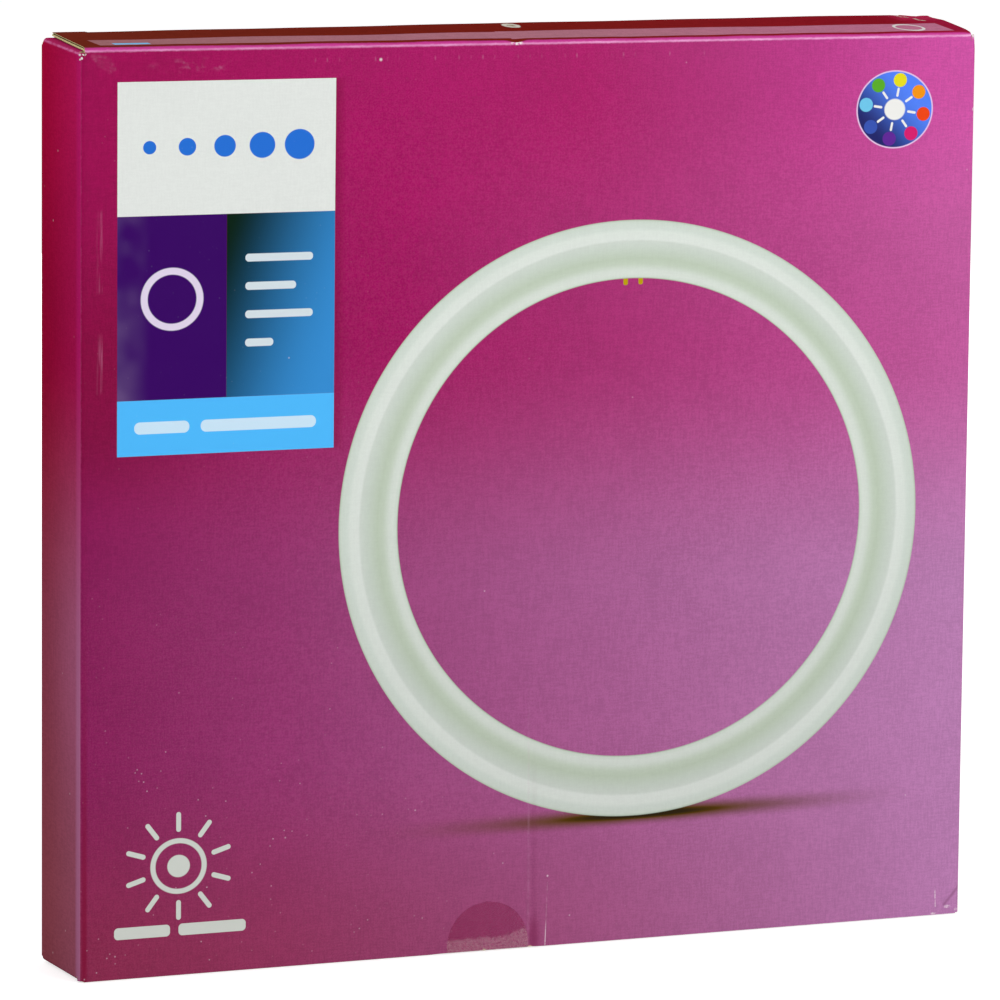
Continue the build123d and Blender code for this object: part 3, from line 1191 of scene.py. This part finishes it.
# A panel with the lid hinged on its upper end, and the folds down its sides
def panelSheet(panel, turned):
    sheet = startSheet(turned)
    flat = halfWidth - board["fold"]
    lidHalf = halfWidth - board["lidEnd"]
    earStart = lidHalf - board["ear"]
    tuckHalf = lidHalf - board["tuckTrim"]
    tuckFace = halfDepth - board["tuckIn"]
    holdShare, holdDepth = board["tuckHold"]
    front = -halfDepth
    corner, far = (front, height), (tuckFace, height + panel["lift"])
    tuckEnd = (tuckFace, height - board["tuckDepth"])
    firstArc = roundCorner((front, 0), corner, far, board["fold"], board["foldSteps"])
    secondArc = roundCorner(corner, far, tuckEnd, board["fold"], board["foldSteps"])

    marks = [-flat, -lidHalf, -tuckHalf, -earStart, *panel["fine"], earStart, tuckHalf, lidHalf]
    marks.append(panel["rightEdge"])
    steps = [mm, mm, 1.75 * mm, 4 * mm, mm, 4 * mm, 1.75 * mm, mm, mm]
    across = [(x, x) for x in spread(marks, steps)]
    onLid = [entry for entry in across if abs(entry[1]) <= lidHalf + hair]
    onTuck = [entry for entry in across if abs(entry[1]) <= earStart + hair]

    heights = [z for z in panelHeights if z > panel["low"] + hair]
    rows = [(z, (front, z)) for z in [panel["low"]] + heights]
    upper = [(front, z) for z in spread([sideHigh, firstArc[0][1]], [0.8 * mm])]
    upper = [rows[-1]] + measured(upper, sideHigh)[1:]
    arc = measured(firstArc, upper[-1][0])
    lid = measured(line(firstArc[-1], secondArc[0], 2.5 * mm), arc[-1][0])
    bend = measured(secondArc, lid[-1][0])
    tuck = measured(line(secondArc[-1], tuckEnd, 3 * mm), bend[-1][0])

    def place(x, point):
        back = clamp((point[0] - front) / (tuckFace - front)) if panel["lift"] else 0.0
        slack = 0.0  # the tuck inside is held by the side panels
        if point[0] > tuckFace - 10 * hair:
            slack = holdShare * min(1.0, (far[1] - point[1]) / holdDepth)
        end = x / lidHalf
        rise = board["lidRise"] + board["lidTwist"] * end + board["lidArch"] * (1 - end * end)
        return (x + back * (1 - slack) * board["lidSkew"], point[0], point[1] + back * rise)

    printed, lidded, side = panel["materials"]
    half = board["foldSteps"] // 2 + 1
    addPatch(sheet, across, rows, place, printed)
    addPatch(sheet, onLid, upper, place, printed)
    addPatch(sheet, onLid, arc[:half], place, printed)
    addPatch(sheet, onLid, arc[half - 1:], place, lidded)
    addPatch(sheet, onLid, lid, place, lidded)
    addPatch(sheet, onTuck, bend, place, lidded)
    addPatch(sheet, onTuck, tuck, place, lidded)
    slope = (Vector(far) - Vector(corner)).normalized()
    earEdge = Vector(corner) + slope * ((halfDepth - board["earGap"] - front) / slope.x)
    ear = measured(line(secondArc[0], tuple(earEdge), mm), lid[-1][0])
    for sign in (-1, 1):
        ends = [entry for entry in across if earStart - hair <= sign * entry[1] <= lidHalf + hair]
        addPatch(sheet, ends, ear, place, lidded)
        ends = [entry for entry in ends if sign * entry[1] <= tuckHalf + hair]
        addPatch(sheet, ends, tuck, place, lidded)

    def upright(point, z):
        return (point[0], point[1], z)

    middle = [z for z in panelHeights if sideLow - hair <= z <= sideHigh + hair]
    for sign, reachUp in panel["folds"]:
        foldLow, foldHigh = panel["low"] + 0.3 * mm, firstArc[0][1] + reachUp
        level = [(z, z) for z in spread([foldLow, sideLow], [0.9 * mm])[:-1] + middle + [foldHigh]]
        behind = (sign * halfWidth, front + board["fold"] + board["lap"])
        turn = roundCorner(behind, (sign * halfWidth, front), (0, front), board["fold"], board["foldSteps"])
        path = measured([behind] + turn, 0)
        reach = path[-1][0]
        path = [(sign * (flat + reach - length), point) for length, point in path]
        sidePart, facePart = path[:half + 1], path[half:]
        if sign > 0:
            sidePart, facePart = sidePart[::-1], facePart[::-1]
        addPatch(sheet, sidePart, level, upright, side)
        addPatch(sheet, facePart, level, upright, printed)
    return sheet


# A side panel with its two dust flaps; the right one also has the flap that the back is glued to
def sideSheet(sign, hasSeam):
    sheet = startSheet()
    flapTop = height - board["flapDrop"]
    flapBase = board["flapDrop"]
    glued = halfDepth - board["thick"] - board["glue"]  # face of the flap that the back panel is glued to
    yFront = -halfDepth + board["fold"] + board["lap"]
    yBack = glued - board["fold"] if hasSeam else -yFront
    flapEdge = min(halfDepth - board["tuckIn"] - board["thick"], yBack)
    face, end = sign * halfWidth, sign * (halfWidth - board["flapReach"])
    lower = roundCorner((end, flapBase), (face, flapBase), (face, flapTop), board["fold"], board["foldSteps"])
    upper = roundCorner((face, flapBase), (face, flapTop), (end, flapTop), board["fold"], board["foldSteps"])
    level = [z for z in panelHeights if sideLow - hair <= z <= sideHigh + hair]

    baseFlap = measured(line((end, flapBase), lower[0], 4 * mm), -board["flapReach"])
    baseArc = measured(lower, baseFlap[-1][0])
    panel = measured([(face, z) for z in level], baseArc[-1][0])
    topArc = measured(upper, panel[-1][0])
    topFlap = measured(line(upper[-1], (end, flapTop), 4 * mm), topArc[-1][0])

    marks = [yFront, -flapEdge, flapEdge]
    if yBack > flapEdge + hair:
        marks.append(yBack)
    across = [(sign * y, y) for y in spread(marks, [mm, 2.5 * mm, mm])]
    if sign < 0:
        across = across[::-1]
    top = [entry for entry in across if entry[1] <= flapEdge + hair]
    base = [entry for entry in across if entry[1] >= -flapEdge - hair]

    def place(y, point):
        return (point[0], y, point[1])

    addPatch(sheet, across, panel, place, printSlot)
    for strip in (topArc, topFlap):
        addPatch(sheet, top, strip, place, printSlot)
    for strip in (baseArc, baseFlap):
        addPatch(sheet, base, strip, place, printSlot)

    if hasSeam:
        turn = roundCorner((face, 0), (face, glued), (0, glued), board["fold"], board["foldSteps"])
        path = measured(turn + [(face - board["glueFlap"], glued)], yBack)
        rows = [(v, point[1]) for v, point in panel]
        addPatch(sheet, path, rows, lambda spot, z: (spot[0], spot[1], z), printSlot)
    springStart, springFade = board["springFrom"]
    sagStart, sagFade = board["sagFrom"]
    for vert in sheet["mesh"].verts:  # the dust flap under the lid springs up towards the back
        share = clamp((vert.co.z - flapTop + springStart) / springFade)
        vert.co.z += board["flapSpring"] * share * (vert.co.y + halfDepth) / (2 * halfDepth)
        outer = clamp((abs(vert.co.x) - halfWidth + board["sagIn"]) / mm)
        foot = clamp((sagStart - vert.co.z) / sagFade)
        vert.co.z -= board["flapSag"] * outer * foot
    return sheet


frontPanel = {
    "low": 0.0,
    "lift": board["lift"],
    "rightEdge": halfWidth - board["fold"],
    "folds": [(-1, -0.3 * mm), (1, 0.6 * mm)],  # side, and how far past the start of the top fold
    "fine": (-22 * mm, 2 * mm),  # smaller faces between these, for the dent in the fold
    "materials": (printSlot, lidSlot, sideSlot),
}
sheet = panelSheet(frontPanel, False)
settleSheet(sheet)
rawPieces = [linerMaterial, cutMaterial, flutingMaterial]
frontPieces = [frontMaterials["plain"], lidMaterial, *rawPieces, sideMaterial]
frontPieces += [made for area, made in frontMaterials.items() if area != "plain"]
for face in sheet["mesh"].faces:
    if face.material_index == printSlot:
        face.material_index = frontPieces.index(frontMaterials[frontArea(face.calc_center_median())])
thicken(sheet, board["thick"], innerSlot, cutRims)
finishPiece(sheet, "front_panel_and_lid", frontPieces, "carton")

backPanel = {
    "low": board["backDrop"],
    "lift": 0.0,
    "rightEdge": halfWidth - board["seam"],
    "folds": [(-1, -0.3 * mm)],
    "fine": (-22 * mm, 2 * mm),  # smaller faces between these, for the dent in the fold
    "materials": (printSlot, lidSlot, sideSlot),
}
sheet = panelSheet(backPanel, True)
settleSheet(sheet)
thicken(sheet, board["thick"], innerSlot, cutRims)
backPieces = [backMaterial, backMaterial, *rawPieces, sideMaterial]
finishPiece(sheet, "back_panel_and_base", backPieces, "carton")

sidePieces = [sideMaterial, sideMaterial, *rawPieces]
for sign, name in ((-1, "left_panel"), (1, "right_panel")):
    sheet = sideSheet(sign, sign > 0)
    settleSheet(sheet)
    thicken(sheet, board["thick"], innerSlot, cutRims)
    finishPiece(sheet, name, sidePieces, "carton")


# Round film seal, folded over the raw lower edge of the front panel
filmSeal = {
    "centre": (sealLow.x + sealHigh.x) / 2,
    "radius": (sealHigh.x - sealLow.x) / 2,
    "up": sealHigh.z,
    "film": 0.07 * mm,
    "milkyTop": (4.6, 6.6),  # height of the milky part, at the left and at the right end
    "milkySpan": (-11, -4),
    "wet": (156, 0, 66),
    "milky": (229, 187, 190),
    "cover": (0.12, 0.13),
    "fleck": ((-17.9, 0.3), (0.9, 0.6)),
    "fleckTint": (236, 224, 196),
    "fleckCover": 0.5,
    "ripple": 0.05 * mm,
    "trim": 0.02 * mm,  # off the two ends of the disc
}


def makeFilm():
    data = filmSeal
    x, y, z = startMaterial("clear_film")
    ragged = grain(700, 4.0, 0.65)
    fine = grain(1800, 3.0)
    top = ease(x, *data["milkySpan"], *data["milkyTop"])
    above = scaled(fine, 5.0, less(scaled(ragged, 4.0, z), top))
    low = times(ease(above, 4.75, 4.35), ease(fine, 0.36, 0.56, 0.1, 1.0))
    fleck = spot((x, z), *data["fleck"], 0.4)
    film = paint(low, data["wet"], data["milky"])
    return dress({
        "Base Color": paint(fleck, film, data["fleckTint"]),
        "Alpha": most(ease(low, 0.0, 1.0, *data["cover"]), times(fleck, data["fleckCover"])),
        "Roughness": 0.22,
        "Specular IOR Level": 0.1,
        "Normal": bump(ragged, data["ripple"]),
    })


sheet = startSheet()
reachDown = 2 * filmSeal["radius"] - filmSeal["up"]
middle = filmSeal["up"] - filmSeal["radius"]
filmMarks = [-reachDown + filmSeal["trim"], 0.0, filmSeal["up"] - filmSeal["trim"]]
filmRows = [(b, b) for b in spread(filmMarks, [mm, mm])]
filmColumns = [(t * filmSeal["radius"], t) for t in spread([-1.0, 1.0], [0.1])]


def placeFilm(t, b):
    half = math.sqrt(max(0.0, filmSeal["radius"] ** 2 - (b - middle) ** 2))
    x = filmSeal["centre"] + t * half
    if b >= 0:
        return (x, sealLow.y, b)
    return (x, sealLow.y - b, 0.0)


addPatch(sheet, filmColumns, filmRows, placeFilm, 0)
thicken(sheet, filmSeal["film"], 0, [(1.0, 0.0, 0)])
finishPiece(sheet, "film_seal", [makeFilm()], "bottom_seal")


# Floor and backdrop: pale, white to the camera, and still taking the carton's shadow
studio = {
    "paper": ((226, 226, 226), (230, 230, 230)),
    "paperGrain": 30.0,
    "paperGlow": 0.64,
    "skyLight": 0.47,
    "skySeen": 1.0,
    "white": (1.0, 1.0, 1.0, 1.0),
}


def seenRays():
    path = node("LightPath", {}).outputs
    return plus(path["Is Camera Ray"], path["Is Glossy Ray"], path["Is Transmission Ray"])


def makeStage():
    newMaterial("stage")
    tone = node("TexNoise", {"Scale": studio["paperGrain"]}).outputs["Fac"]
    return dress({
        "Base Color": paint(tone, *studio["paper"]),
        "Roughness": 0.9,
        "Specular IOR Level": 0.1,
        "Emission Color": studio["white"],
        "Emission Strength": times(seenRays(), studio["paperGlow"]),
    })


bpy.ops.mesh.primitive_plane_add(size=24.0, location=(0, 0, -0.0003))
floor = bpy.context.object
floor.name = "floor"
floor.data.materials.append(makeStage())

world = bpy.data.worlds.new("studio")
bpy.context.scene.world = world
world.use_nodes = True
work["tree"] = world.node_tree
work["tree"].nodes.clear()
soft, plain = [
    node("Background", {"Color": studio["white"], "Strength": studio[key]}).outputs[0]
    for key in ("skyLight", "skySeen")
]
sky = node("MixShader", {"Fac": seenRays(), 1: soft, 2: plain}).outputs[0]
node("OutputWorld", {"Surface": sky})

lamps = {
    "key": {"place": (1.1, -2.1, 0.75), "size": 1.3, "power": 25},
    "left": {"place": (-2.0, -0.9, 0.8), "size": 1.2, "power": 10.5},
    "top": {"place": (0.2, -0.3, 2.2), "size": 1.4, "power": 3.3},
    "back": {"place": (0.45, 2.3, 0.42), "size": 1.2, "power": 17},
}
for name, lamp in lamps.items():
    data = bpy.data.lights.new(name, "AREA")
    data.size = lamp["size"]
    data.energy = lamp["power"]
    light = bpy.data.objects.new(name, data)
    light.location = lamp["place"]
    toward = Vector((0, 0, height / 2)) - light.location
    light.rotation_euler = toward.to_track_quat("-Z", "Y").to_euler()
    bpy.context.collection.objects.link(light)
print("stage made")


# Camera at the photo's angle
shot = {
    "azimuth": 23.423,
    "elevation": 7.843,
    "roll": 0.569,
    "aim": (-4.594 * mm, 1.487 * mm, 151.65 * mm),
    "distance": 2148.9 * mm,
    "lens": 226.62,
}
turn, tilt, roll = [math.radians(shot[key]) for key in ("azimuth", "elevation", "roll")]
forward = Vector((math.sin(turn) * math.cos(tilt), math.cos(turn) * math.cos(tilt), -math.sin(tilt)))
right = Vector((math.cos(turn), -math.sin(turn), 0.0))
upward = right.cross(forward)
tiltedRight = right * math.cos(roll) + upward * math.sin(roll)
tiltedUp = upward * math.cos(roll) - right * math.sin(roll)
camera = bpy.data.objects.new("camera", bpy.data.cameras.new("camera"))
camera.data.sensor_width = 36.0
camera.data.lens = shot["lens"]
camera.data.clip_end = 50.0
axes = Matrix((tiltedRight, tiltedUp, -forward)).transposed().to_4x4()
camera.matrix_world = Matrix.Translation(Vector(shot["aim"]) - forward * shot["distance"]) @ axes
bpy.context.collection.objects.link(camera)
bpy.context.scene.camera = camera
bpy.context.scene.view_settings.view_transform = "Standard"

bpy.context.view_layer.update()
